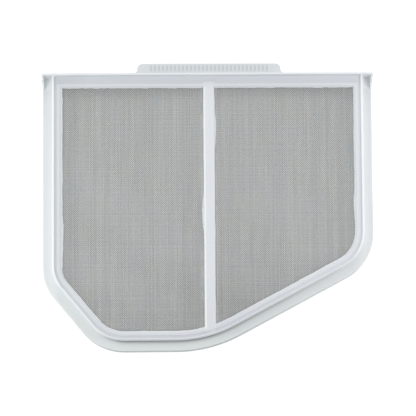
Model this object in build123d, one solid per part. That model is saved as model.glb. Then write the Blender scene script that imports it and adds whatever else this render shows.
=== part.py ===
from build123d import *
import os
from math import floor, radians, tan

# Lint filter of a tumble dryer, lying on its back: +Z is the lint side, +Y is the cap with the finger tab.
# The origin is on the resting plane, at the middle of the outline. All lengths are millimetres.

# Overall outline
frame_width = 332.0  # flange edge to flange edge
frame_height = 278.7  # foot of the flange to the top of the cap
left_cut = 56.3  # width taken by the steep left slope
left_slope = 50.2  # degrees from level
right_cut = 164.7  # width taken by the long right slope
right_slope = 27.8  # degrees from level
left_shoulder_radius = 45.0
left_foot_radius = 54.0
right_foot_radius = 138.0
right_shoulder_radius = 52.0

# Section through the edge of the frame
flange_side = 10.0  # width of the guide flange beside the upright walls
flange_lower = 11.7  # width of the flange along the slopes and the foot
flange_thickness = 2.0
flange_edge_radius = 1.6
wall = 2.4
rim_height = 13.6  # top of the wall above the resting plane
rim_radius = 0.8
root_radius = 0.8  # where the wall rises from the flange
band_height = 11.8  # face of the recessed band inside the wall
band_thickness = 2.6
band_width = 2.6  # flat of the band between the wall and the bead
bead_width = 4.4  # raised bead round the windows, with its bevel
bead_rise = 0.6
bead_edge = 0.4  # soft outer edge of the bead
bevel_width = 1.8  # slope from the bead down to the screen
bevel_depth = 1.4

# Cap along the top
cap_width = 332.0
cap_depth = 18.0
cap_thickness = 2.3  # at its front edge
cap_draft = 0.9  # added thickness at its back edge
cap_radius = 0.8  # front edges
cap_end_radius = 1.2  # upper corners at both ends
top_band = 12.0  # front of the cap's underside to the windows
gusset_thickness = 1.8
gusset_length = 13.0  # along the flange
gusset_setback = 0.8  # from the cap's front edge

# Bar between the two windows
mullion_offset = 1.0  # to the right of the frame's middle
mullion_width = 10.6  # with its bevels
swell_rise = 3.0  # soft swell of the bead over the bar's top end
swell_radius = 12.0

# Finger tab on the cap
tab_offset = 1.4
tab_width = 143.4
tab_rise = 9.2
tab_thickness = 2.4
tab_setback = 1.0  # behind the cap's front edge
tab_corner_radius = 5.0
tab_foot_radius = 3.5
tab_edge_radius = 0.6
panel_width = 128.0  # shallow panel between two witness lines
panel_depth = 0.35
rib_width = 1.5
rib_length = 5.4
rib_pitch = 4.0
rib_field = 119.0

# Woven screen, moulded into the band and the bar
screen_thickness = 0.6
screen_back = 10.2
screen_hold = 4.6  # margin held in the plastic past the window's edge
# The real threads are about 1 mm apart. They are drawn six times as coarse, with a gap at some crossings.
thread_pitch = 6.0
thread_width = 3.0
thread_rise = 0.45
thread_clearance = 0.3  # from the ends of the drawn threads to the plastic
gap_every = 4  # threads from one gap to the next

# Places worked out from the sizes above
bottom = -(frame_height + tab_rise) / 2
cap_top = bottom + frame_height
cap_foot = cap_top - cap_thickness / 2  # the frame's walls run up into the cap
cap_under = cap_top - cap_thickness
window_top = cap_under - top_band
band_back = band_height - band_thickness
bead_height = band_height + bead_rise
screen_front = screen_back + screen_thickness
gap_size = thread_pitch - thread_width
wall_side = flange_side + wall
wall_lower = flange_lower + wall
window_inset = band_width + bead_width
overlap = 0.5  # how far added forms run into what carries them
bends = [left_shoulder_radius, left_foot_radius, right_foot_radius, right_shoulder_radius]


def basin(side, lower, top):
    """Outline of the frame, drawn in by side at the upright edges and by lower below."""
    left = side - frame_width / 2
    right = frame_width / 2 - side
    foot = bottom + lower
    heel = left_cut - frame_width / 2 + lower * tan(radians(left_slope / 2))
    toe = frame_width / 2 - right_cut - lower * tan(radians(right_slope / 2))
    path = FilletPolyline(
        (left, top),
        (left, foot + (heel - left) * tan(radians(left_slope))),
        (heel, foot),
        (toe, foot),
        (right, foot + (right - toe) * tan(radians(right_slope))),
        (right, top),
        radius=[bend - lower for bend in bends],
    )
    return make_face(path + Line((right, top), (left, top)))


def inside_wall(inset, top):
    """Outline drawn in from the inner face of the wall by one inset all round."""
    return basin(wall_side + inset, wall_lower + inset, top)


def prism(face, low, high):
    """Straight solid on a flat outline, between two heights."""
    return Pos(0, 0, low) * extrude(face, high - low)


def level_edges(solid, height, top):
    """Level edges of a solid at one height, apart from those along the line y = top."""
    edges = solid.edges().filter_by_position(Axis.Z, height - 0.01, height + 0.01)
    return [edge for edge in edges if edge.center().Y < top - 0.01]


def windows(inset, half_bar):
    """The two openings of the frame, drawn in by inset, either side of the bar."""
    outline = inside_wall(window_inset + inset, window_top - inset)
    bar = Pos(mullion_offset, 0) * Rectangle(2 * half_bar, 2 * frame_height)
    return outline - bar


def flange_and_wall():
    """Flat guide flange, and the upright wall with the recessed band across its inside."""
    flange = prism(basin(0, 0, cap_foot), 0, flange_thickness)
    flange = fillet(level_edges(flange, flange_thickness, cap_foot), flange_edge_radius)
    tray = prism(basin(flange_side, flange_lower, cap_foot), 0, rim_height)
    tray -= prism(inside_wall(0, cap_foot), band_height, rim_height)
    tray = fillet(level_edges(tray, rim_height, cap_foot), rim_radius)
    body = flange + tray
    beside_wall = basin(flange_side / 2, flange_lower / 2, cap_top).face()
    joints = level_edges(body, flange_thickness, cap_foot)
    roots = [edge for edge in joints if beside_wall.is_inside((edge.center().X, edge.center().Y))]
    return fillet(roots, root_radius) - prism(inside_wall(0, cap_foot), 0, band_back)


def bead():
    """Raised field inside the band, from which the windows leave the bead and the bar."""
    edge = window_top + bead_width
    swell = Pos(mullion_offset, edge + swell_rise - swell_radius) * Circle(swell_radius)
    field = prism(inside_wall(band_width, edge) + swell, band_height - overlap, bead_height)
    return chamfer(level_edges(field, bead_height, frame_height), bead_edge)


def cut_windows(body):
    """Cut both windows through the band, with a bevel down to the screen round each."""
    body -= prism(windows(0, mullion_width / 2), 0, rim_height)
    level_faces = body.faces().filter_by(Axis.Z)
    face = level_faces.filter_by_position(Axis.Z, bead_height - 0.01, bead_height + 0.01)[0]
    rims = [edge for wire in face.inner_wires() for edge in wire.edges()]
    return chamfer(rims, bevel_width, bevel_depth, reference=face)


def cap():
    """Bar along the top, a little thicker at its back, with soft front edges and round upper corners."""
    section = Plane.YZ * Polyline(
        (cap_top, 0),
        (cap_top, cap_depth),
        (cap_under, cap_depth),
        (cap_under - cap_draft, 0),
        close=True,
    )
    bar = extrude(make_face(section), cap_width / 2, both=True)
    bar = fillet(bar.edges().filter_by(Axis.Z), cap_end_radius)
    return fillet(bar.edges().filter_by_position(Axis.Z, cap_depth - 0.01, cap_depth + 0.01), cap_radius)


def gusset(side):
    """Upright web that ties one end of the cap to the flange. side is -1 for left, 1 for right."""
    section = Plane.YZ * Polyline(
        (cap_foot, 0),
        (cap_foot, cap_depth - gusset_setback),
        (cap_under, cap_depth - gusset_setback),
        (cap_under - gusset_length, flange_thickness),
        (cap_under - gusset_length, 0),
        close=True,
    )
    web = extrude(make_face(section), gusset_thickness)
    inner = frame_width / 2 - gusset_thickness
    return Pos(inner if side > 0 else -frame_width / 2, 0, 0) * web


def tab():
    """Finger tab that stands on the cap, with a shallow panel of low grip ribs."""
    half = tab_width / 2
    reach = half + tab_foot_radius + overlap
    high = cap_top + tab_rise
    path = FilletPolyline(
        (-reach, cap_top),
        (-half, cap_top),
        (-half, high),
        (half, high),
        (half, cap_top),
        (reach, cap_top),
        radius=[tab_foot_radius, tab_corner_radius, tab_corner_radius, tab_foot_radius],
    )
    path += Polyline((reach, cap_top), (reach, cap_foot), (-reach, cap_foot), (-reach, cap_top))
    front = cap_depth - tab_setback
    plate = prism(make_face(path), front - tab_thickness, front)
    rims = [edge for edge in level_edges(plate, front, frame_height) if edge.center().Y > cap_top + 0.01]
    plate = fillet(rims, tab_edge_radius)
    panel = Pos(0, high) * Rectangle(panel_width, 2 * tab_rise)
    plate -= prism(panel, front - panel_depth, front)
    count = floor(rib_field / rib_pitch) + 1
    rib = Rectangle(rib_width, rib_length)
    for place in GridLocations(rib_pitch, 1, count, 1):
        outline = Pos(place.position.X, cap_top + tab_rise / 2) * rib
        plate += prism(outline, front - panel_depth - overlap, front)
    return Pos(tab_offset, 0, 0) * plate


def screen_outline():
    """The cut of the screen, with the margin that the plastic holds."""
    return inside_wall(window_inset - screen_hold, window_top + screen_hold)


def filter_frame():
    """The moulding: flange, wall, band, bead, bar, cap, gussets and tab in one piece."""
    body = cut_windows(flange_and_wall() + bead())
    body = body + cap() + tab() + gusset(-1) + gusset(1)
    return body - prism(screen_outline(), screen_back, screen_front)


def thread_lines(first, last):
    """Places of evenly spaced threads, centred between two edges."""
    count = floor((last - first) / thread_pitch)
    start = (first + last - count * thread_pitch) / 2
    return [start + i * thread_pitch for i in range(count + 1)]


def thread(plane, middle, length, height, rise):
    """One thread: a rounded ridge on one height of the sheet that runs along a plane's normal."""
    low = (middle - thread_width / 2, height)
    high = (middle + thread_width / 2, height)
    section = make_face(ThreePointArc(low, (middle, height + rise), high) + Line(high, low))
    return extrude(plane * section, length, both=True)


def between(lines):
    """Places halfway between neighbouring threads."""
    return [(line + next_line) / 2 for line, next_line in zip(lines, lines[1:])]


def gaps(columns, rows):
    """Staggered square gaps between the threads, where they clear the plastic."""
    room = windows(gap_size, mullion_width / 2 + gap_size).faces()
    holes = []
    for j, y in enumerate(between(rows)[::gap_every]):
        stagger = j % 2 * gap_every // 2
        for x in between(columns)[stagger::gap_every]:
            if any(face.is_inside((x, y)) for face in room):
                holes.append(Pos(x, y) * Rectangle(gap_size, gap_size))
    return prism(Sketch() + holes, screen_back - thread_rise, screen_front + thread_rise)


def mesh_screen():
    """Woven screen: one sheet with upright threads on the front, level ones behind, and gaps between."""
    sheet = prism(screen_outline(), screen_back, screen_front)
    side = frame_width / 2 - wall_side - window_inset
    columns = thread_lines(-side, side)
    rows = thread_lines(bottom + wall_lower + window_inset, window_top)
    ridges = [thread(Plane.XZ, x, frame_height, screen_front, thread_rise) for x in columns]
    ridges += [thread(Plane.YZ, y, frame_width, screen_back, -thread_rise) for y in rows]
    clear = prism(windows(thread_clearance, mullion_width / 2 + thread_clearance), 0, rim_height)
    pieces = [piece for ridge in ridges for piece in (clear & ridge).solids()]
    return sheet.fuse(*pieces) - gaps(columns, rows)


os.makedirs("parts", exist_ok=True)
export_step(filter_frame(), "parts/filter_frame.step")
export_step(mesh_screen(), "parts/mesh_screen.step")
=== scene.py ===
import math

import bmesh
import bpy
import numpy as np
from bpy.props import FloatProperty, FloatVectorProperty, IntProperty, PointerProperty
from mathutils import Matrix, Vector


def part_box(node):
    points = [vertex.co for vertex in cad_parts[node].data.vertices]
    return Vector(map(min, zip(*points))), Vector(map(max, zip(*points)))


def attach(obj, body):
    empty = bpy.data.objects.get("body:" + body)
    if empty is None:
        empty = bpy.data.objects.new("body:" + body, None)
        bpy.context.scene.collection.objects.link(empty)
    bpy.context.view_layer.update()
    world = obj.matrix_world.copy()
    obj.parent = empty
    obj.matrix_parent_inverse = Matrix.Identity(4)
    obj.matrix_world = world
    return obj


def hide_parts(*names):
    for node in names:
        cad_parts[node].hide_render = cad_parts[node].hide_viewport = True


bl_info = {
    "name": "Dryer lint filter",
    "version": (1, 0, 0),
    "blender": (4, 5, 0),
    "location": "3D View > Sidebar > Lint filter",
    "description": "Finishes the moulded frame of a dryer lint filter and weaves its screen",
    "category": "Object",
}

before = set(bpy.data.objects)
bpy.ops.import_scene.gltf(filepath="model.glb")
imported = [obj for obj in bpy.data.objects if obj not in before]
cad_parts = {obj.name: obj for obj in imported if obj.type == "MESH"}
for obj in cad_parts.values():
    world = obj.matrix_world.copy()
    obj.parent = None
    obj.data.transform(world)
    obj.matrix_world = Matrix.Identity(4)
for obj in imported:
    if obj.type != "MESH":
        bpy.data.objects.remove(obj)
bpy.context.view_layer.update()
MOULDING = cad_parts["filter_frame"]
SCREEN_LOW, SCREEN_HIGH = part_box("mesh_screen")
MM = 0.001
BAKE_MAP = "OFBake"  # a map of a weave, drawn from above for baking
EDGE_GAP = "edge_gap"  # how far a thread's vertex is from the window's edge

# Where the frame's finishes lie. Of a pair, unless a comment says otherwise,
# a finish is absent at the first and full at the second.
TONE_DRIFT = 45 * MM  # size of the slow drifts in the plastic's tone
LOOKS_UP = (0.5, 0.85)  # upward part of a face's normal
SCREEN_RISE = (11.0 * MM, 11.6 * MM)  # the heights between which the screen lies in the band and under the bead
SCREEN_FALL = (12.9 * MM, 12.1 * MM)
BAR_HALF = 5.4 * MM
BAR_RUN = (-123.5 * MM, 124.9 * MM)  # its two ends, along the frame
BAR_COVER = 0.3  # share of the screen that the thicker bar hides
LEFT_BAND = (-118 * MM, -146 * MM)
FOOT_BAND = (-70 * MM, -115 * MM)
TAB_BLEND = 0.3 * MM
RIB_ROW_HALF = 60 * MM
RIB_HALF = 2.75 * MM
RIB_RISE = 0.1 * MM
FLANGE_ZONE = 9 * MM  # the flange and the wall's foot lie below this
# Where the painted shade at the frame's foot lies.
LOWER_FRAME = (-10 * MM, -110 * MM)  # along the frame, and so is the next
FRAME_FOOT = (-56 * MM, -132 * MM)
FACES_FOOT = (-0.03, -0.22)  # part of a face's normal towards the cap
WALL_ROOT = (3.2 * MM, 2.3 * MM)  # heights, and so are the next
FLANGE_EDGE = (1.8 * MM, 2.1 * MM)  # from EDGE_SHADE to ROOT_SHADE
EDGE_SHADE, ROOT_SHADE, CREASE_SHADE, RIM_SHADE = 0.22, 0.78, 0.55, 0.25
CREASE_REACH = 4.5 * MM
CREASED = (0.93, 0.6)  # how open a crease is
PAST_LEFT_SLOPE = (-112 * MM, -88 * MM)
SHADED_RIM = (12.7 * MM, 13.8 * MM)  # its foot and its top
RIM_FACES_FOOT = (0.6, 0.2)
# Painted highlight along the rims, and painted light on the side flanges and the left slope.
LIT_RIM = (12.8 * MM, 13.2 * MM)
RIM_TOP = 13.8 * MM
# Off the frame's middle.
SIDE_REACH = (144 * MM, 154 * MM)
BESIDE_WALL = (164 * MM, 157 * MM)
SIDE_FLANGE = (140 * MM, 167 * MM)  # its two edges
BY_CAP = (117 * MM, 122 * MM)  # along the frame
FLANGE_LIGHT, SLOPE_LIGHT = 0.7, 0.32
LEFT_SLOPE = (-88 * MM, -112 * MM)
SLOPE_TOP = (-50 * MM, -80 * MM)
# Painted highlights on the bar's bevels, the left one brighter.
BEVEL_TURN = (0.2, 0.4)  # sideways part of a face's normal
RIGHT_BEVEL_HIGHLIGHT = 0.5
PRINT_TONE, PRINT_RELIEF = 0.12, 0.35
GRAIN = 0.7 * MM  # the tool's spark-eroded grain is about 0.1 mm, and is drawn coarser so that it shows
GRAIN_DEPTH = 0.05 * MM
FILM_PATCH = 4 * MM
FILM_DEPTH = 0.1 * MM

# How the threads differ in tone, above and at the foot, and where the one goes over to the other.
WARP_SPREAD, WEFT_SPREAD = (0.22, 0.25), (0.02, 0.42)
SPREAD_RUN = (20 * MM, -100 * MM)
STREAK_WIDTH, STREAK_LENGTH = 1.6 * MM, 60 * MM
HUE_PATCH = 14 * MM
COATED_RUN = 18 * MM
COATED = (0.46, 0.54)  # levels of the noise, from bare to coated
COATED_SHARE = 0.7

# Where painted shade lies on the screen. Of each pair, it is deepest at the first and gone at the second.
UNDER_CAP = (SCREEN_HIGH.y - 4 * MM, SCREEN_HIGH.y - 20 * MM)
BAR_FOOT = (16 * MM, -108 * MM, SCREEN_HIGH.z)
ROUND_BAR_FOOT = (20 * MM, 90 * MM)
SCREEN_FOOT = (-110 * MM, -50 * MM)
SCREEN_LEFT = (-144 * MM, -112 * MM)
SCREEN_EDGE = (0.5 * MM, 2.4 * MM)
# The share of light that the painted shade leaves where it is deepest.
CAP_LEAVES, BAR_FOOT_LEAVES, FOOT_LEAVES, LEFT_LEAVES, EDGE_LEAVES = 0.78, 0.91, 0.93, 0.92, 0.84
CORNER_HALF, CORNER_TOP, CORNER_SHADE = 7.8 * MM, -114 * MM, 0.4  # the last is the share of light that it takes

# How the threads are laid, and how they wander, as shares of the stray.
THREAD_SIDES = 3
COPY_WELD = 0.01 * MM  # where the copies of an array meet
MOST_THREADS = 4000
WARP_SEED = 10  # added to the seed for the warp
OFFSET_SHARE, SWING_SHARE, SWING_LENGTH = 0.7, 0.5, 30 * MM
WEFT_SHARE = 0.4
MAP_MARGIN = 0.01

# How the windows' edges are found in the frame, in metres.
TINY = 1e-12  # what a division is kept above
WELD = 1e-6
SAME_HEIGHT = 1e-5
UPRIGHT = 0.1  # most that an upright face's normal rises
ON_EDGE = 0.1 * MM

# The ragged film, and its depth as shares of its usual depth.
FILM_STEP = 0.6  # longest piece of its edge, in pitches of the warp
TOOTH_RUN = 3  # pitches of the warp in one tooth
TOOTH_SPAN = (0.1, 1.7)
MOST_TEETH = 2000
FILM_WAVES = (4 * MM, 6.7 * MM, 11 * MM, 19 * MM)
ANY_PHASE = 6.28  # about one turn
EVEN_SHARE, WAVE_SHARE = 0.75, 1.2
BAR_EVEN_SHARE, BAR_WAVE_SHARE, BAR_TOOTH_SHARE = 0.7, 0.6, 0.3
# Where it runs deeper: the upright edge, counted from the left, the middle of the run, half the run and the depth.
DEEP_FILM = (
    (0, -26 * MM, 18 * MM, 0.9 * MM),
    (1, -6 * MM, 18 * MM, 1.6 * MM),
    (2, 78 * MM, 18 * MM, 1.2 * MM),
    (3, 1 * MM, 15 * MM, 0.9 * MM),
)
DEEP_TOP = 1.4  # above 1, so that the run's middle is evenly deep
DEEP_EVEN_SHARE, DEEP_TOOTH_SHARE = 0.7, 0.3

# Lamps: name, place and size in metres, power in watts, colour.
LAMPS = (
    ("left_softbox", (-0.47, -0.07, 0.43), 0.4, 1.46, "#FEFFFF"),
    ("right_softbox", (0.47, 0.0, 0.43), 0.4, 1.34, "#FFFCFF"),
    ("top_softbox", (0.0, 0.8, 0.36), 0.5, 2.3, "#FFFFFF"),
    ("foot_softbox", (0.0, -0.8, 0.5), 0.5, 0.2, "#FFFFFF"),
)
AMBIENT = 0.5  # strength of the world's light
FLOOR_LIFT = 0.3  # glow of the floor, where it is seen
FLOOR_SIZE, FLOOR_DROP = 8.0, 0.2 * MM
SENSOR_WIDTH, LENS = 36.0, 129.71  # mm
CAMERA_TURN = (3.9, 1.31, 0.44)  # degrees towards the foot, to the left and rolled
CAMERA_AIM = (-0.46 * MM, -0.4 * MM, 8 * MM)
CAMERA_FAR = 1.5  # metres from there


def srgb(code):
    """A hex colour as linear red, green, blue and alpha."""
    levels = [int(code[i:i + 2], 16) / 255 for i in (1, 3, 5)]
    linear = [v / 12.92 if v <= 0.04045 else ((v + 0.055) / 1.055) ** 2.4 for v in levels]
    return (*linear, 1.0)


def length(name, description, millimetres):
    """A length property with its default in millimetres."""
    return FloatProperty(
        name=name, description=description, default=millimetres * MM, unit="LENGTH", precision=5)


def colour(name, description, code):
    """A colour property with a hex default."""
    return FloatVectorProperty(name=name, description=description, default=srgb(code), size=4, subtype="COLOR")


class LintFilterSizes(bpy.types.PropertyGroup):
    """Sizes of the woven screen and of the plastic that runs into it."""

    warp_pitch: length("Warp pitch", "Spacing of the upright threads", 1.08)
    weft_pitch: length("Weft pitch", "Spacing of the level threads", 1.01)
    thread_radius: length("Thread radius", "Radius of one monofilament", 0.29)
    crimp: length("Crimp", "Height by which a thread rises and dips at the crossings", 0.24)
    stray: length("Stray", "How far a thread wanders from its even place", 0.07)
    held: length("Held margin", "How far the threads run on into the plastic", 2.0)
    band_back: length("Band back", "Height of the back of the band that holds the screen", 9.2)
    flash_top: length("Flash top", "Height of the plastic film that ran into the weave", 10.95)
    flash_thickness: length("Flash thickness", "Thickness of that film", 0.4)
    flash_depth: length("Flash depth", "Usual depth of the ragged film along the windows", 0.3)
    left_flash: length("Left flash", "How much deeper the film is along the left edge", 0.8)
    bar_flash: length("Bar flash", "Usual depth of the film beside the bar", 0.5)
    coated_near: length("Coated from", "Where the coated threads beside the bar start, from its middle", 6.8)
    coated_far: length("Coated to", "Where the coated threads beside the bar end, from its middle", 8.0)
    bar_middle: length("Bar middle", "The middle of the bar between the windows", 1.0)
    tab_foot: length("Tab foot", "Where the finger tab starts, past the cap", 134.75)
    tab_middle: length("Tab middle", "The middle of the finger tab across the frame", 1.4)
    rib_middle: length("Rib middle", "The middle of the row of grip ribs along the tab's rise", 139.35)
    rib_foot: length("Rib foot", "Height of the panel that the grip ribs stand on", 16.65)
    seed: IntProperty(name="Seed", description="Start of the random draws", default=7)


class LintFilterColours(bpy.types.PropertyGroup):
    """Colours of the plastic and of the threads."""

    plastic: colour("Plastic", "Polypropylene as moulded", "#E6EAEC")
    plastic_shade: colour("Plastic shade", "Cooler tone that drifts through the moulding", "#DDE2E6")
    plastic_over_screen: colour("Over the screen", "Plastic with the screen showing through it", "#D5D9DE")
    # A darker tone of the band at the left and the foot.
    plastic_band_left_foot: colour("Thin band", "The same where the band is thinner, at the left and the foot", "#CDD1D6")
    # A darker tone of the finger tab; no coarser grain is drawn.
    plastic_tab: colour("Tab", "Plastic with the coarser grain of the finger tab", "#D4D9DC")
    # Painted highlight of the rims, and painted light on the flange beside them.
    plastic_rim_light: colour("Rim", "Plastic rubbed smooth along the upright rims", "#EFF3F4")
    # Painted highlight along the bar's bevels.
    plastic_bevel_highlight: colour("Bevel", "Plastic brushed smooth along the bar's bevels", "#F2F6F7")
    plastic_rib: colour("Ribs", "Worn tops of the grip ribs", "#C2C7CA")
    # Painted shade: the lower flange's darker, warmer tone and the dark root along the lower walls.
    plastic_flange_shade: colour("Lower flange", "Plastic with a trace of warm dust, low on the flange", "#E1E6E6")
    plastic_root_shade: colour("Root", "Dust along the foot of the lower walls", "#434849")
    film: colour("Film", "Thin plastic in the weave", "#C6CACA")
    film_thick: colour("Thick film", "Thicker places in that film", "#E2E6E8")
    # The pale warp and the dark weft are painted light and shade: lit and shaded copies of one grey thread, so that
    # their crossings show as a checker.
    warp: colour("Warp", "Pale upright monofilament", "#FCFEFE")
    weft: colour("Weft", "Darker level monofilament", "#777C7C")
    dust_cool: colour("Cool dust", "Bluer tone that dust lends the threads", "#F3FAFF")
    dust_warm: colour("Warm dust", "Yellower tone that dust lends the threads", "#FFFCF3")
    floor: colour("Floor", "Pale table under the filter", "#F7F7F7")


def sizes():
    """The sizes set in the panel."""
    return bpy.context.scene.lint_filter_sizes


def colours():
    """The colours set in the panel."""
    return bpy.context.scene.lint_filter_colours


def node(tree, kind, inputs=None, **settings):
    """Add one shader node. inputs maps each socket to a value, to the output that feeds it,
    or to a node, whose first output in use then feeds it."""
    made = tree.nodes.new("ShaderNode" + kind)
    for key, value in settings.items():
        setattr(made, key, value)
    for key, value in (inputs or {}).items():
        if isinstance(value, bpy.types.Node):
            value = next(output for output in value.outputs if output.enabled)
        if isinstance(value, bpy.types.NodeSocket):
            tree.links.new(value, made.inputs[key])
        else:
            made.inputs[key].default_value = value
    return made


def new_material(name):
    """An empty material: its tree and its output node."""
    material = bpy.data.materials.new(name)
    material.use_nodes = True
    tree = material.node_tree
    tree.nodes.clear()
    return material, tree, node(tree, "OutputMaterial")


def between(tree, value, low, high):
    """1 where a value lies between two limits, and 0 elsewhere."""
    above = node(tree, "Math", {0: value, 1: low}, operation="GREATER_THAN")
    below = node(tree, "Math", {0: value, 1: high}, operation="LESS_THAN")
    return node(tree, "Math", {0: above, 1: below}, operation="MULTIPLY")


def screen_inside(tree, at, up, in_bar):
    """How much of the screen shows through the plastic: in the band and under the bead, and less in the bar."""
    rise = node(tree, "MapRange", {"Value": at["Z"], "From Min": SCREEN_RISE[0], "From Max": SCREEN_RISE[1]})
    fall = node(tree, "MapRange", {"Value": at["Z"], "From Min": SCREEN_FALL[0], "From Max": SCREEN_FALL[1]})
    layer = node(tree, "Math", {0: rise, 1: fall}, operation="MULTIPLY")
    buried = node(tree, "Math", {0: layer, 1: up}, operation="MULTIPLY")
    thin = node(tree, "Math", {0: in_bar, 1: -BAR_COVER, 2: 1.0}, operation="MULTIPLY_ADD")
    return node(tree, "Math", {0: buried, 1: thin}, operation="MULTIPLY")


def grey_band(tree, at, inside, tone):
    """The screen inside greys the plastic, and the band is darker still at the left and the foot."""
    tint = colours()
    left_side = node(tree, "MapRange", {"Value": at["X"], "From Min": LEFT_BAND[0], "From Max": LEFT_BAND[1]})
    foot_side = node(tree, "MapRange", {"Value": at["Y"], "From Min": FOOT_BAND[0], "From Max": FOOT_BAND[1]})
    # The band's darker tone at the left and the foot.
    thinner = node(tree, "Math", {0: left_side, 1: foot_side}, operation="MAXIMUM")
    showing = node(tree, "Mix", {"Factor": thinner, 6: tint.plastic_over_screen, 7: tint.plastic_band_left_foot},
                   data_type="RGBA")
    return node(tree, "Mix", {"Factor": inside, 6: tone, 7: showing}, data_type="RGBA")


def darken_tab(tree, at, tone):
    """The finger tab is a darker tone, and the tops of its grip ribs are worn."""
    tint, s = colours(), sizes()
    on_tab = node(tree, "MapRange", {"Value": at["Y"], "From Min": s.tab_foot - TAB_BLEND,
                                     "From Max": s.tab_foot + TAB_BLEND})
    tab = node(tree, "Mix", {"Factor": on_tab, 6: tone, 7: tint.plastic_tab}, data_type="RGBA")
    in_row = between(tree, at["X"], s.tab_middle - RIB_ROW_HALF, s.tab_middle + RIB_ROW_HALF)
    in_rise = between(tree, at["Y"], s.rib_middle - RIB_HALF, s.rib_middle + RIB_HALF)
    on_top = node(tree, "Math", {0: at["Z"], 1: s.rib_foot + RIB_RISE}, operation="GREATER_THAN")
    in_ribs = node(tree, "Math", {0: in_row, 1: in_rise}, operation="MULTIPLY")
    worn = node(tree, "Math", {0: in_ribs, 1: on_top}, operation="MULTIPLY")
    return node(tree, "Mix", {"Factor": worn, 6: tab, 7: tint.plastic_rib}, data_type="RGBA")


def paint_foot_shade(tree, at, facing, up, low_down, tone):
    """Painted shade at the frame's foot: a darker, warmer tone on the lower flange, dark along the foot of the lower
    walls and in the crease beside them, less along the flange's lower edge, and a little on the rims that face the
    foot."""
    tint = colours()
    below = node(tree, "MapRange", {"Value": at["Y"], "From Min": LOWER_FRAME[0], "From Max": LOWER_FRAME[1]})
    low_flange = node(tree, "Math", {0: low_down, 1: below}, operation="MULTIPLY")
    flange_shaded = node(tree, "Mix", {"Factor": low_flange, 6: tone, 7: tint.plastic_flange_shade}, data_type="RGBA")
    # Walls that face left get no painted shade, so a face's turn to the left offsets its turn to the foot.
    to_left = node(tree, "Math", {0: facing["X"], 1: -1.0}, operation="MULTIPLY")
    only_left = node(tree, "Math", {0: to_left, 1: 0.0}, operation="MAXIMUM")
    turned = node(tree, "Math", {0: facing["Y"], 1: only_left}, operation="ADD")
    looks_down = node(tree, "MapRange", {"Value": turned, "From Min": FACES_FOOT[0], "From Max": FACES_FOOT[1]})
    low_wall = node(tree, "MapRange", {"Value": at["Z"], "From Min": WALL_ROOT[0], "From Max": WALL_ROOT[1]})
    edge_to_root = node(tree, "MapRange", {"Value": at["Z"], "From Min": FLANGE_EDGE[0], "From Max": FLANGE_EDGE[1],
                                      "To Min": EDGE_SHADE, "To Max": ROOT_SHADE})
    lowest = node(tree, "MapRange", {"Value": at["Y"], "From Min": FRAME_FOOT[0], "From Max": FRAME_FOOT[1]})
    lower = node(tree, "Math", {0: low_wall, 1: lowest}, operation="MULTIPLY")
    # The painted shade on the foot of the lower walls, where they face the foot.
    dust = node(tree, "Math", {0: lower, 1: looks_down}, operation="MULTIPLY")
    on_wall = node(tree, "Math", {0: dust, 1: edge_to_root}, operation="MULTIPLY")
    # Painted shade of the crease beside the wall, read from its ambient occlusion, spreads onto the flange.
    crease = node(tree, "AmbientOcclusion", {"Distance": CREASE_REACH}, samples=8)
    close = node(tree, "MapRange", {"Value": crease.outputs["AO"], "From Min": CREASED[0], "From Max": CREASED[1],
                                    "To Max": CREASE_SHADE})
    past_left = node(tree, "MapRange", {"Value": at["X"], "From Min": PAST_LEFT_SLOPE[0],
                                        "From Max": PAST_LEFT_SLOPE[1]})
    crease_past_left = node(tree, "Math", {0: close, 1: past_left}, operation="MULTIPLY")
    flat_flange = node(tree, "Math", {0: low_down, 1: up}, operation="MULTIPLY")
    lying = node(tree, "Math", {0: flat_flange, 1: lowest}, operation="MULTIPLY")
    beside_wall = node(tree, "Math", {0: crease_past_left, 1: lying}, operation="MULTIPLY")
    at_root = node(tree, "Math", {0: on_wall, 1: beside_wall}, operation="MAXIMUM")
    # Painted shade on the rims that face the foot.
    high_wall = between(tree, at["Z"], *SHADED_RIM)
    high = node(tree, "Math", {0: high_wall, 1: below}, operation="MULTIPLY")
    leans_down = node(tree, "MapRange", {"Value": turned, "From Min": RIM_FACES_FOOT[0],
                                         "From Max": RIM_FACES_FOOT[1], "To Max": RIM_SHADE})
    on_high = node(tree, "Math", {0: high, 1: leans_down}, operation="MULTIPLY")
    at_rim = node(tree, "Math", {0: on_high, 1: past_left}, operation="MULTIPLY")
    shade_mask = node(tree, "Math", {0: at_root, 1: at_rim}, operation="MAXIMUM")
    return node(tree, "Mix", {"Factor": shade_mask, 6: flange_shaded, 7: tint.plastic_root_shade}, data_type="RGBA")


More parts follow.
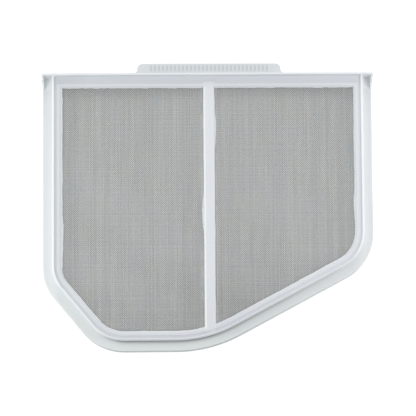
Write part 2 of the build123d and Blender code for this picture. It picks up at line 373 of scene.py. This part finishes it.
def paint_rim_light(tree, at, low_down, tone):
    """Painted highlight along the rims of the upright walls at the sides, and painted light on the flange beside the
    walls and under the cap's ends. The left slope's rim and flange get a fainter painted light."""
    on_rim = node(tree, "MapRange", {"Value": at["Z"], "From Min": LIT_RIM[0], "From Max": LIT_RIM[1]})
    below_cap = node(tree, "Math", {0: at["Z"], 1: RIM_TOP}, operation="LESS_THAN")
    rim = node(tree, "Math", {0: on_rim, 1: below_cap}, operation="MULTIPLY")
    off_middle = node(tree, "Math", {0: at["X"]}, operation="ABSOLUTE")
    toward_side = node(tree, "MapRange", {"Value": off_middle, "From Min": SIDE_REACH[0], "From Max": SIDE_REACH[1]})
    near_wall = node(tree, "MapRange", {"Value": off_middle, "From Min": BESIDE_WALL[0], "From Max": BESIDE_WALL[1],
                                        "To Max": FLANGE_LIGHT})
    by_cap = node(tree, "MapRange", {"Value": at["Y"], "From Min": BY_CAP[0], "From Max": BY_CAP[1]})
    by_both = node(tree, "Math", {0: near_wall, 1: by_cap}, operation="MAXIMUM")
    beside = between(tree, off_middle, *SIDE_FLANGE)
    on_flange = node(tree, "Math", {0: beside, 1: low_down}, operation="MULTIPLY")
    flange = node(tree, "Math", {0: by_both, 1: on_flange}, operation="MULTIPLY")
    rim_or_flange = node(tree, "Math", {0: rim, 1: flange}, operation="MAXIMUM")
    side_lit = node(tree, "Math", {0: rim_or_flange, 1: toward_side}, operation="MULTIPLY")
    at_left = node(tree, "MapRange", {"Value": at["X"], "From Min": LEFT_SLOPE[0], "From Max": LEFT_SLOPE[1]})
    low_left = node(tree, "MapRange", {"Value": at["Y"], "From Min": SLOPE_TOP[0], "From Max": SLOPE_TOP[1],
                                       "To Max": SLOPE_LIGHT})
    steep = node(tree, "Math", {0: at_left, 1: low_left}, operation="MULTIPLY")
    rim_and_flange = node(tree, "Math", {0: rim, 1: low_down}, operation="MAXIMUM")
    dropped = node(tree, "Math", {0: rim_and_flange, 1: steep}, operation="MULTIPLY")
    # The share of painted light, at the sides and on the left slope.
    rubbed = node(tree, "Math", {0: side_lit, 1: dropped}, operation="MAXIMUM")
    return node(tree, "Mix", {"Factor": rubbed, 6: tone, 7: colours().plastic_rim_light}, data_type="RGBA")


def paint_bevel_highlights(tree, facing, in_bar, tone):
    """Painted highlights on the bar's bevels, the left one brightest."""
    left = node(tree, "MapRange", {"Value": facing["X"], "From Min": -BEVEL_TURN[0], "From Max": -BEVEL_TURN[1]})
    right = node(tree, "MapRange", {"Value": facing["X"], "From Min": BEVEL_TURN[0], "From Max": BEVEL_TURN[1],
                                    "To Max": RIGHT_BEVEL_HIGHLIGHT})
    either = node(tree, "Math", {0: left, 1: right}, operation="MAXIMUM")
    bevel = node(tree, "Math", {0: in_bar, 1: either}, operation="MULTIPLY")
    return node(tree, "Mix", {"Factor": bevel, 6: tone, 7: colours().plastic_bevel_highlight}, data_type="RGBA")


def print_through(tree, at, inside):
    """The threads inside print through the plastic at their own pitch."""
    s = sizes()
    across = node(tree, "Math", {0: at["X"], 1: math.pi / s.warp_pitch}, operation="MULTIPLY")
    along = node(tree, "Math", {0: at["Y"], 1: math.pi / s.weft_pitch}, operation="MULTIPLY")
    warp = node(tree, "Math", {0: across}, operation="SINE")
    weft = node(tree, "Math", {0: along}, operation="SINE")
    weave = node(tree, "Math", {0: warp, 1: weft}, operation="MULTIPLY")
    return node(tree, "Math", {0: weave, 1: inside}, operation="MULTIPLY")


def polypropylene():
    """Polypropylene, injection moulded with a satin finish: pale, a little uneven in tone, soft broad highlights.
    Where the screen is moulded in, it greys the plastic, and its threads print faintly through."""
    tint, s = colours(), sizes()
    material, tree, out = new_material("moulded_polypropylene")
    place = node(tree, "TexCoord").outputs["Object"]
    at = node(tree, "SeparateXYZ", {"Vector": place}).outputs
    facing = node(tree, "SeparateXYZ", {"Vector": node(tree, "NewGeometry").outputs["Normal"]}).outputs
    up = node(tree, "MapRange", {"Value": facing["Z"], "From Min": LOOKS_UP[0], "From Max": LOOKS_UP[1]})
    low_down = node(tree, "Math", {0: at["Z"], 1: FLANGE_ZONE}, operation="LESS_THAN")
    across_bar = between(tree, at["X"], s.bar_middle - BAR_HALF, s.bar_middle + BAR_HALF)
    along_bar = between(tree, at["Y"], *BAR_RUN)
    in_bar = node(tree, "Math", {0: across_bar, 1: along_bar}, operation="MULTIPLY")
    inside = screen_inside(tree, at, up, in_bar)
    drift = node(tree, "TexNoise", {"Vector": place, "Scale": 1 / TONE_DRIFT, "Detail": 3.0})
    tone = node(tree, "Mix", {"Factor": drift, 6: tint.plastic, 7: tint.plastic_shade}, data_type="RGBA")
    tone = grey_band(tree, at, inside, tone)
    tone = darken_tab(tree, at, tone)
    # Painted shade at the foot, painted light on the rims and flanges, and painted highlights on the bar's bevels.
    tone = paint_foot_shade(tree, at, facing, up, low_down, tone)
    tone = paint_rim_light(tree, at, low_down, tone)
    tone = paint_bevel_highlights(tree, facing, in_bar, tone)
    printed = print_through(tree, at, inside)
    shadow = node(tree, "Math", {0: printed, 1: PRINT_TONE, 2: 1.0}, operation="MULTIPLY_ADD")
    toned = node(tree, "VectorMath", {0: tone, "Scale": shadow}, operation="SCALE")
    grain = node(tree, "TexNoise", {"Vector": place, "Scale": 1 / GRAIN, "Detail": 2.0})
    relief = node(tree, "Math", {0: printed, 1: PRINT_RELIEF, 2: grain}, operation="MULTIPLY_ADD")
    bump = node(tree, "Bump", {"Height": relief, "Distance": GRAIN_DEPTH, "Strength": 0.35})
    satin = node(tree, "MapRange", {"Value": drift, "To Min": 0.38, "To Max": 0.5})
    shader = node(tree, "BsdfPrincipled", {"Base Color": toned, "Roughness": satin, "IOR": 1.49, "Normal": bump})
    tree.links.new(shader.outputs["BSDF"], out.inputs["Surface"])
    return material


def film():
    """Polypropylene film that ran into the weave: greyer than the frame, because the threads show through it."""
    tint = colours()
    material, tree, out = new_material("polypropylene_flash")
    place = node(tree, "TexCoord").outputs["Object"]
    patches = node(tree, "TexNoise", {"Vector": place, "Scale": 1 / FILM_PATCH, "Detail": 2.0})
    tone = node(tree, "Mix", {"Factor": patches, 6: tint.film, 7: tint.film_thick}, data_type="RGBA")
    bump = node(tree, "Bump", {"Height": patches, "Distance": FILM_DEPTH, "Strength": 0.4})
    shader = node(tree, "BsdfPrincipled", {"Base Color": tone, "Roughness": 0.45, "IOR": 1.49, "Normal": bump})
    tree.links.new(shader.outputs["BSDF"], out.inputs["Surface"])
    return material


def screen_painted_shade(tree, place, at, off_bar):
    """Share of a thread's light that the painted shade leaves. It is deeper on the strip under the cap, a little
    deeper at the left, at the foot and round the bar's foot, and it also lies along the windows' edges
    and in the corners beside the bar's foot."""
    under_cap = node(tree, "MapRange", {"Value": at["Y"], "From Min": UNDER_CAP[0], "From Max": UNDER_CAP[1],
                                        "To Min": CAP_LEAVES, "To Max": 1.0}, interpolation_type="SMOOTHSTEP")
    from_bar_foot = node(tree, "VectorMath", {0: place, 1: BAR_FOOT}, operation="DISTANCE")
    to_bar = node(tree, "MapRange", {"Value": from_bar_foot, "From Min": ROUND_BAR_FOOT[0],
                                     "From Max": ROUND_BAR_FOOT[1], "To Min": BAR_FOOT_LEAVES, "To Max": 1.0})
    to_foot = node(tree, "MapRange", {"Value": at["Y"], "From Min": SCREEN_FOOT[0], "From Max": SCREEN_FOOT[1],
                                      "To Min": FOOT_LEAVES, "To Max": 1.0})
    to_left = node(tree, "MapRange", {"Value": at["X"], "From Min": SCREEN_LEFT[0], "From Max": SCREEN_LEFT[1],
                                      "To Min": LEFT_LEAVES, "To Max": 1.0})
    edge = node(tree, "Attribute", attribute_name=EDGE_GAP)
    by_edge = node(tree, "MapRange", {"Value": edge.outputs["Fac"], "From Min": SCREEN_EDGE[0],
                                      "From Max": SCREEN_EDGE[1], "To Min": EDGE_LEAVES, "To Max": 1.0})
    by_bar = node(tree, "Math", {0: off_bar, 1: CORNER_HALF}, operation="LESS_THAN")
    by_foot = node(tree, "Math", {0: at["Y"], 1: CORNER_TOP}, operation="LESS_THAN")
    corner = node(tree, "Math", {0: by_bar, 1: by_foot}, operation="MULTIPLY")
    left = node(tree, "Math", {0: corner, 1: -CORNER_SHADE, 2: 1.0}, operation="MULTIPLY_ADD")
    for share in (under_cap, to_bar, to_foot, to_left, by_edge):
        left = node(tree, "Math", {0: left, 1: share}, operation="MULTIPLY")
    return left


def monofilament(name, axis, pitch, body, spread):
    """Polyester monofilament, drawn smooth: a grey thread with a thin gloss.
    Threads differ in tone by spread, above and at the foot, and stretches of each catch more lint dust."""
    tint, s = colours(), sizes()
    material, tree, out = new_material(name)
    place = node(tree, "TexCoord").outputs["Object"]
    at = node(tree, "SeparateXYZ", {"Vector": place}).outputs
    count = node(tree, "Math", {0: at[axis], 1: pitch}, operation="DIVIDE")
    thread = node(tree, "Math", {0: count}, operation="ROUND")
    lot = node(tree, "TexWhiteNoise", {"W": thread}, noise_dimensions="1D")
    across, along = 1 / STREAK_WIDTH, 1 / STREAK_LENGTH
    stretch = (across, along, 1.0) if axis == "X" else (along, across, 1.0)
    stretched = node(tree, "Mapping", {"Vector": place, "Scale": stretch})
    streak = node(tree, "TexNoise", {"Vector": stretched, "Scale": 1.0, "Detail": 1.0})
    patch = node(tree, "TexNoise", {"Vector": place, "Scale": 1 / HUE_PATCH, "Detail": 2.0})
    hue = node(tree, "Mix", {"Factor": patch, 6: tint.dust_cool, 7: tint.dust_warm}, data_type="RGBA")
    base = node(tree, "VectorMath", {0: hue, 1: body[:3]}, operation="MULTIPLY")
    # The lot and twice the streak are 1.5 between them on average, and vary the tone about 1.
    both = node(tree, "Math", {0: streak, 1: 2.0, 2: lot}, operation="MULTIPLY_ADD")
    uneven = node(tree, "Math", {0: both, 1: 1.5}, operation="SUBTRACT")
    widest = node(tree, "MapRange", {"Value": at["Y"], "From Min": SPREAD_RUN[0], "From Max": SPREAD_RUN[1],
                                     "To Min": spread[0], "To Max": spread[1]})
    level = node(tree, "Math", {0: uneven, 1: widest, 2: 1.0}, operation="MULTIPLY_ADD")
    from_bar = node(tree, "Math", {0: at["X"], 1: s.bar_middle}, operation="SUBTRACT")
    off_bar = node(tree, "Math", {0: from_bar}, operation="ABSOLUTE")
    # Painted shade dims the thread.
    dimmed = node(tree, "Math", {0: level, 1: screen_painted_shade(tree, place, at, off_bar)}, operation="MULTIPLY")
    shade = node(tree, "VectorMath", {0: base, "Scale": dimmed}, operation="SCALE")
    # Beside the bar, stretches of thread are coated with plastic.
    near_bar = between(tree, off_bar, s.coated_near, s.coated_far)
    runs = node(tree, "TexNoise", {"Vector": place, "Scale": 1 / COATED_RUN, "Detail": 2.0})
    wet = node(tree, "MapRange", {"Value": runs, "From Min": COATED[0], "From Max": COATED[1],
                                  "To Max": COATED_SHARE})
    coat = node(tree, "Math", {0: near_bar, 1: wet}, operation="MULTIPLY")
    coated = node(tree, "Mix", {"Factor": coat, 6: shade, 7: tint.film_thick}, data_type="RGBA")
    shader = node(tree, "BsdfPrincipled", {"Base Color": coated, "Roughness": 0.36, "IOR": 1.57})
    tree.links.new(shader.outputs["BSDF"], out.inputs["Surface"])
    return material


def deselect():
    """Leave edit mode with nothing selected."""
    if bpy.context.object and bpy.context.object.mode != "OBJECT":
        bpy.ops.object.mode_set(mode="OBJECT")
    bpy.ops.object.select_all(action="DESELECT")


def only(piece):
    """Select one object and make it active."""
    deselect()
    piece.select_set(True)
    bpy.context.view_layer.objects.active = piece


def coordinates(mesh):
    """Places of a mesh's vertices, one row each."""
    places = np.empty(len(mesh.vertices) * 3)
    mesh.vertices.foreach_get("co", places)
    return places.reshape(-1, 3)


def is_window_edge(edge):
    """Whether an edge of the welded frame runs round the back of a window."""
    back = sizes().band_back
    level = all(abs(v.co.z - back) < SAME_HEIGHT for v in edge.verts)
    return level and any(abs(f.normal.z) < UPRIGHT and f.calc_center_median().z > back for f in edge.link_faces)


def ring_area(ring):
    """Area inside a ring, below 0 where the ring runs clockwise."""
    x, y = ring.T
    return (np.dot(x, np.roll(y, -1)) - np.dot(y, np.roll(x, -1))) / 2


def window_rings():
    """Outlines of the two windows, left then right, as anticlockwise rings of (x, y) read from the frame."""
    work = bmesh.new()
    work.from_mesh(MOULDING.data)
    bmesh.ops.remove_doubles(work, verts=work.verts, dist=WELD)
    onward = {}
    for edge in work.edges:
        if is_window_edge(edge):
            a, b = (v.index for v in edge.verts)
            onward.setdefault(a, []).append(b)
            onward.setdefault(b, []).append(a)
    work.verts.ensure_lookup_table()
    rings = []
    while onward:
        start = next(iter(onward))
        walk = [start]
        while True:
            following = [i for i in onward.pop(walk[-1]) if i in onward]
            if not following:
                break
            walk.append(following[0])
        rings.append(np.array([work.verts[i].co.xy for i in walk]))
    work.free()
    if len(rings) != 2:
        raise RuntimeError(f"the frame should have two windows, and {len(rings)} were found")
    rings.sort(key=lambda ring: ring[:, 0].mean())
    return [ring if ring_area(ring) > 0 else ring[::-1] for ring in rings]


def within(points, ring):
    """Which points lie inside a ring."""
    inside = np.zeros(len(points), bool)
    for a, b in zip(ring, np.roll(ring, -1, axis=0)):
        spans = (a[1] > points[:, 1]) != (b[1] > points[:, 1])
        rise = b[1] - a[1]
        if abs(rise) > TINY:
            inside ^= spans & (points[:, 0] < a[0] + (points[:, 1] - a[1]) / rise * (b[0] - a[0]))
    return inside


def nearest_side(points, ring):
    """For each point, how far the ring's nearest side is, which side it is, and how far along the ring."""
    far = np.full(len(points), np.inf)
    side = np.zeros(len(points), int)
    along = np.zeros(len(points))
    run = 0.0
    for i, (a, b) in enumerate(zip(ring, np.roll(ring, -1, axis=0))):
        step = b - a
        reach = np.linalg.norm(step)
        if reach < TINY:
            continue
        share = np.clip((points - a) @ step / reach ** 2, 0, 1)
        gap = np.linalg.norm(points - a - share[:, None] * step, axis=1)
        nearer = gap < far
        far[nearer], side[nearer], along[nearer] = gap[nearer], i, run + share[nearer] * reach
        run += reach
    return far, side, along


def array(count, offset):
    """Repeat the active object by an Array modifier, welded where copies meet, and apply it."""
    bpy.ops.object.modifier_add(type="ARRAY")
    repeat = bpy.context.object.modifiers[-1]
    repeat.count = count
    repeat.use_relative_offset = False
    repeat.use_constant_offset = True
    repeat.constant_offset_displace = offset
    repeat.use_merge_vertices = True
    repeat.merge_threshold = COPY_WELD
    bpy.ops.object.modifier_apply(modifier=repeat.name)


def lay_threads(name, ring, upright):
    """Lay all the threads of one window that run one way, each over and under the threads that cross it."""
    s = sizes()
    middle = (SCREEN_LOW.z + SCREEN_HIGH.z) / 2
    pitch = Vector((s.warp_pitch, s.weft_pitch))
    first = [2 * math.floor((ring[:, k].min() - s.held) / pitch[k] / 2) for k in (0, 1)]
    last = [2 * math.ceil((ring[:, k].max() + s.held) / pitch[k] / 2) for k in (0, 1)]
    way, across = (1, 0) if upright else (0, 1)
    start = s.crimp if upright else -s.crimp
    forward, sideways = Vector(), Vector()
    forward[way], sideways[across] = pitch[way], pitch[across]
    # One thread over two crossings: a three-sided ring drawn out down and up again.
    deselect()
    bpy.ops.mesh.primitive_circle_add(
        vertices=THREAD_SIDES, radius=s.thread_radius, fill_type="NOTHING",
        location=(first[0] * pitch.x, first[1] * pitch.y, middle + start),
        rotation=(math.pi / 2, 0, 0 if upright else math.pi / 2))
    piece = bpy.context.object
    piece.name = piece.data.name = name
    bpy.ops.object.transform_apply(location=True, rotation=True, scale=True)
    bpy.ops.object.mode_set(mode="EDIT")
    bpy.ops.mesh.select_all(action="SELECT")
    for drop in (-2 * start, 2 * start):
        step = forward + Vector((0, 0, drop))
        bpy.ops.mesh.extrude_edges_move(TRANSFORM_OT_translate={"value": step})
    bpy.ops.object.mode_set(mode="OBJECT")
    array((last[way] - first[way]) // 2, 2 * forward)
    array((last[across] - first[across]) // 2, 2 * sideways)
    # The threads between start at the next crossing, so that they go under where their neighbours go over.
    bpy.ops.object.duplicate()
    bpy.ops.transform.translate(value=forward + sideways)
    bpy.ops.object.transform_apply(location=True, rotation=False, scale=False)
    piece.select_set(True)
    bpy.context.view_layer.objects.active = piece
    bpy.ops.object.join()
    # Each thread wanders a little from its even place.
    places = coordinates(piece.data)
    thread = MOST_THREADS // 2 + np.rint(places[:, across] / pitch[across]).astype(int)
    draw = np.random.default_rng(s.seed + WARP_SEED * upright)
    offset = draw.normal(0, 1, MOST_THREADS)[thread]
    swing = draw.uniform(0, 2 * math.pi, MOST_THREADS)[thread]
    wander = OFFSET_SHARE * offset + SWING_SHARE * np.sin(places[:, way] / SWING_LENGTH + swing)
    places[:, across] += (s.stray if upright else WEFT_SHARE * s.stray) * wander
    piece.data.vertices.foreach_set("co", places.ravel())
    # What lies past the plastic's hold is cut off, and the ends are closed.
    gap, _, _ = nearest_side(places[:, :2], ring)
    beyond = ~within(places[:, :2], ring) & (gap > s.held)
    bpy.ops.object.mode_set(mode="EDIT")
    bpy.ops.mesh.select_mode(type="VERT")
    bpy.ops.mesh.select_all(action="DESELECT")
    work = bmesh.from_edit_mesh(piece.data)
    work.verts.ensure_lookup_table()
    for i in np.flatnonzero(beyond):
        work.verts[i].select_set(True)
    bpy.ops.mesh.delete(type="VERT")
    bpy.ops.mesh.select_all(action="SELECT")
    bpy.ops.mesh.fill_holes(sides=THREAD_SIDES)
    bpy.ops.mesh.select_all(action="SELECT")
    bpy.ops.mesh.normals_make_consistent(inside=False)
    bpy.ops.object.mode_set(mode="OBJECT")
    bpy.ops.object.shade_smooth()
    map_from_above(piece)
    gap, _, _ = nearest_side(coordinates(piece.data)[:, :2], ring)
    piece.data.attributes.new(EDGE_GAP, "FLOAT", "POINT").data.foreach_set("value", gap)
    return piece


def map_from_above(piece):
    """Give a piece a map for baking, drawn as it is seen from above."""
    mesh = piece.data
    places = coordinates(mesh)[:, :2]
    low, high = places.min(axis=0), places.max(axis=0)
    corners = np.empty(len(mesh.loops), int)
    mesh.loops.foreach_get("vertex_index", corners)
    spots = MAP_MARGIN + (1 - 2 * MAP_MARGIN) * (places[corners] - low) / (high - low)
    mesh.uv_layers.new(name=BAKE_MAP).data.foreach_set("uv", spots.ravel())


def ragged_edge(places, rings):
    """For each place on the windows' edges, the move into the window that draws the film out to a ragged line."""
    s = sizes()
    moves = np.zeros_like(places)
    edges = [side for ring in rings for side in (ring[:, 0].min(), ring[:, 0].max())]
    draw = np.random.default_rng(s.seed)
    for ring, bar_edge in zip(rings, edges[1:3]):
        gap, side, along = nearest_side(places, ring)
        mine = gap < ON_EDGE
        steps = np.roll(ring, -1, axis=0) - ring
        inward = np.stack([-steps[:, 1], steps[:, 0]], axis=1)
        inward /= np.linalg.norm(inward, axis=1)[:, None] + TINY
        stitch = np.floor(along / (TOOTH_RUN * s.warp_pitch)).astype(int)
        tooth = draw.uniform(*TOOTH_SPAN, MOST_TEETH)[stitch]
        slow = np.mean([np.sin(along / wave + draw.uniform(0, ANY_PHASE)) for wave in FILM_WAVES], axis=0)
        depth = s.flash_depth * tooth * (EVEN_SHARE + WAVE_SHARE * np.clip(slow, 0, 1))
        far_left = places[:, 0] < edges[0] + ON_EDGE
        depth = np.where(far_left, depth + s.left_flash, depth)
        beside_bar = np.abs(places[:, 0] - bar_edge) < ON_EDGE
        bar_depth = s.bar_flash * (BAR_EVEN_SHARE + BAR_WAVE_SHARE * slow) + BAR_TOOTH_SHARE * s.flash_depth * tooth
        depth = np.where(beside_bar, bar_depth, depth)
        for edge, middle, half, reach in DEEP_FILM:
            bulge = np.clip(DEEP_TOP - DEEP_TOP * ((places[:, 1] - middle) / half) ** 2, 0, 1)
            on_edge = np.abs(places[:, 0] - edges[edge]) < ON_EDGE
            depth += on_edge * bulge * reach * (DEEP_EVEN_SHARE + DEEP_TOOTH_SHARE * tooth)
        moves[mine] = (inward[side] * depth[:, None])[mine]
    return moves


class LINTFILTER_OT_finish_frame(bpy.types.Operator):
    """Give the moulded frame its satin polypropylene"""

    bl_idname = "lint_filter.finish_frame"
    bl_label = "Finish the frame"

    def execute(self, context):
        MOULDING.data.materials.clear()
        MOULDING.data.materials.append(polypropylene())
        return {"FINISHED"}


class LINTFILTER_OT_weave_screen(bpy.types.Operator):
    """Weave the screen of both windows from warp and weft threads"""

    bl_idname = "lint_filter.weave_screen"
    bl_label = "Weave the screen"

    def execute(self, context):
        s = sizes()
        # The warp's pale tone and the weft's dark tone are painted light and shade on one kind of thread.
        warp = monofilament("polyester_warp", "X", s.warp_pitch, colours().warp, WARP_SPREAD)
        weft = monofilament("polyester_weft", "Y", s.weft_pitch, colours().weft, WEFT_SPREAD)
        for side, ring in zip(("left", "right"), window_rings()):
            for way, finish in (("warp", warp), ("weft", weft)):
                piece = lay_threads(f"{side}_{way}", ring, way == "warp")
                piece.data.materials.append(finish)
                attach(piece, "root")
                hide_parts("mesh_screen")
        return {"FINISHED"}


class LINTFILTER_OT_mould_flash(bpy.types.Operator):
    """Mould the ragged film of plastic that ran into the weave round the windows"""

    bl_idname = "lint_filter.mould_flash"
    bl_label = "Mould the flash"

    def execute(self, context):
        s = sizes()
        # The windows' lower edges are taken from a welded copy of the frame.
        only(MOULDING)
        bpy.ops.object.duplicate()
        copy = bpy.context.object
        copy.parent = None
        bpy.ops.object.mode_set(mode="EDIT")
        bpy.ops.mesh.select_mode(type="EDGE")
        bpy.ops.mesh.select_all(action="SELECT")
        bpy.ops.mesh.remove_doubles(threshold=WELD)
        bpy.ops.mesh.select_all(action="DESELECT")
        work = bmesh.from_edit_mesh(copy.data)
        for edge in work.edges:
            edge.select_set(is_window_edge(edge))
        bpy.ops.mesh.select_all(action="INVERT")
        bpy.ops.mesh.delete(type="EDGE")
        # The edges are divided to about half a thread's pitch and drawn inwards to a ragged line.
        while True:
            bpy.ops.mesh.select_all(action="DESELECT")
            work = bmesh.from_edit_mesh(copy.data)
            long_edges = [edge for edge in work.edges if edge.calc_length() > FILM_STEP * s.warp_pitch]
            if not long_edges:
                break
            for edge in long_edges:
                edge.select_set(True)
            bpy.ops.mesh.subdivide(number_cuts=1)
        bpy.ops.mesh.select_all(action="SELECT")
        bpy.ops.mesh.extrude_edges_move()
        work = bmesh.from_edit_mesh(copy.data)
        inner = np.array([v.select for v in work.verts])
        places = np.array([v.co.xy for v in work.verts])
        for v, move, is_inner in zip(work.verts, ragged_edge(places, window_rings()), inner):
            v.co.z = s.flash_top
            if is_inner:
                v.co.x += move[0]
                v.co.y += move[1]
        bmesh.update_edit_mesh(copy.data)
        bpy.ops.object.mode_set(mode="OBJECT")
        bpy.ops.object.modifier_add(type="SOLIDIFY")
        thicken = copy.modifiers[-1]
        thicken.thickness = s.flash_thickness
        thicken.offset = -1.0
        bpy.ops.object.modifier_apply(modifier=thicken.name)
        bpy.ops.object.mode_set(mode="EDIT")
        bpy.ops.mesh.select_all(action="SELECT")
        bpy.ops.mesh.normals_make_consistent(inside=False)
        bpy.ops.object.mode_set(mode="OBJECT")
        for key in list(copy.keys()):
            if key.startswith("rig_"):
                del copy[key]
        copy.name = copy.data.name = "window_flash"
        copy.data.materials.clear()
        copy.data.materials.append(film())
        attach(copy, "root")
        return {"FINISHED"}


class LINTFILTER_OT_set_stage(bpy.types.Operator):
    """Set the floor, the soft lights and the camera"""

    bl_idname = "lint_filter.set_stage"
    bl_label = "Set the stage"

    def execute(self, context):
        scene = context.scene
        scene.view_settings.view_transform = "Standard"
        deselect()
        bpy.ops.mesh.primitive_plane_add(size=FLOOR_SIZE, location=(0, 0, -FLOOR_DROP))
        floor = context.object
        floor.name = floor.data.name = "floor"
        material, tree, out = new_material("pale_table")
        path = node(tree, "LightPath")
        seen = node(tree, "Math", {0: path.outputs["Is Camera Ray"], 1: path.outputs["Is Glossy Ray"]},
                    operation="MAXIMUM")
        lift = node(tree, "Math", {0: seen, 1: FLOOR_LIFT}, operation="MULTIPLY")
        matte = node(tree, "BsdfDiffuse", {"Color": colours().floor})
        glow = node(tree, "Emission", {"Color": colours().floor, "Strength": lift})
        both = node(tree, "AddShader", {0: matte, 1: glow})
        tree.links.new(both.outputs["Shader"], out.inputs["Surface"])
        floor.data.materials.append(material)
        world = bpy.data.worlds.new("studio")
        scene.world = world
        world.use_nodes = True
        tree = world.node_tree
        tree.nodes.clear()
        path = node(tree, "LightPath")
        ambient = node(tree, "Background", {"Color": (1, 1, 1, 1), "Strength": AMBIENT})
        paper = node(tree, "Background", {"Color": (1, 1, 1, 1), "Strength": 1.0})
        mixed = node(tree, "MixShader", {0: path.outputs["Is Camera Ray"], 1: ambient, 2: paper})
        node(tree, "OutputWorld", {"Surface": mixed})
        for name, place, size, power, tone in LAMPS:
            lamp = bpy.data.lights.new(name, "AREA")
            lamp.size = size
            lamp.energy = power
            lamp.color = srgb(tone)[:3]
            holder = bpy.data.objects.new(name, lamp)
            scene.collection.objects.link(holder)
            holder.location = place
            holder.rotation_euler = Vector(place).to_track_quat("Z", "Y").to_euler()
            holder.visible_camera = False
        # Down on the face, from 4 degrees nearer the foot and 1 degree from the left, as through a long lens.
        lens = bpy.data.cameras.new("long_lens")
        lens.sensor_width = SENSOR_WIDTH
        lens.lens = LENS
        camera = bpy.data.objects.new("camera", lens)
        scene.collection.objects.link(camera)
        tip, side, roll = (math.radians(turn) for turn in CAMERA_TURN)
        back = Vector((-math.sin(side), -math.sin(tip), 0))
        back.z = math.sqrt(1 - back.length_squared)
        right = Vector((0, 1, 0)).cross(back).normalized()
        top = back.cross(right)
        turned_right = right * math.cos(roll) - top * math.sin(roll)
        turned_top = right * math.sin(roll) + top * math.cos(roll)
        axes = Matrix((turned_right, turned_top, back)).transposed().to_4x4()
        camera.matrix_world = Matrix.Translation(Vector(CAMERA_AIM) + CAMERA_FAR * back) @ axes
        scene.camera = camera
        return {"FINISHED"}


class VIEW3D_PT_lint_filter(bpy.types.Panel):
    """Sizes, colours and steps of the lint filter"""

    bl_label = "Lint filter"
    bl_space_type = "VIEW_3D"
    bl_region_type = "UI"
    bl_category = "Lint filter"

    def draw(self, context):
        for group in (sizes(), colours()):
            box = self.layout.box()
            for key in group.__annotations__:
                box.prop(group, key)
        for step in STEPS:
            self.layout.operator(step.bl_idname)


STEPS = (LINTFILTER_OT_set_stage, LINTFILTER_OT_finish_frame, LINTFILTER_OT_weave_screen, LINTFILTER_OT_mould_flash)
CLASSES = (LintFilterSizes, LintFilterColours, *STEPS, VIEW3D_PT_lint_filter)


def register():
    for kind in CLASSES:
        bpy.utils.register_class(kind)
    bpy.types.Scene.lint_filter_sizes = PointerProperty(type=LintFilterSizes)
    bpy.types.Scene.lint_filter_colours = PointerProperty(type=LintFilterColours)


def unregister():
    del bpy.types.Scene.lint_filter_colours
    del bpy.types.Scene.lint_filter_sizes
    for kind in reversed(CLASSES):
        bpy.utils.unregister_class(kind)


def main():
    register()
    bpy.ops.lint_filter.set_stage()
    bpy.ops.lint_filter.finish_frame()
    bpy.ops.lint_filter.weave_screen()
    bpy.ops.lint_filter.mould_flash()


if __name__ == "__main__":
    main()
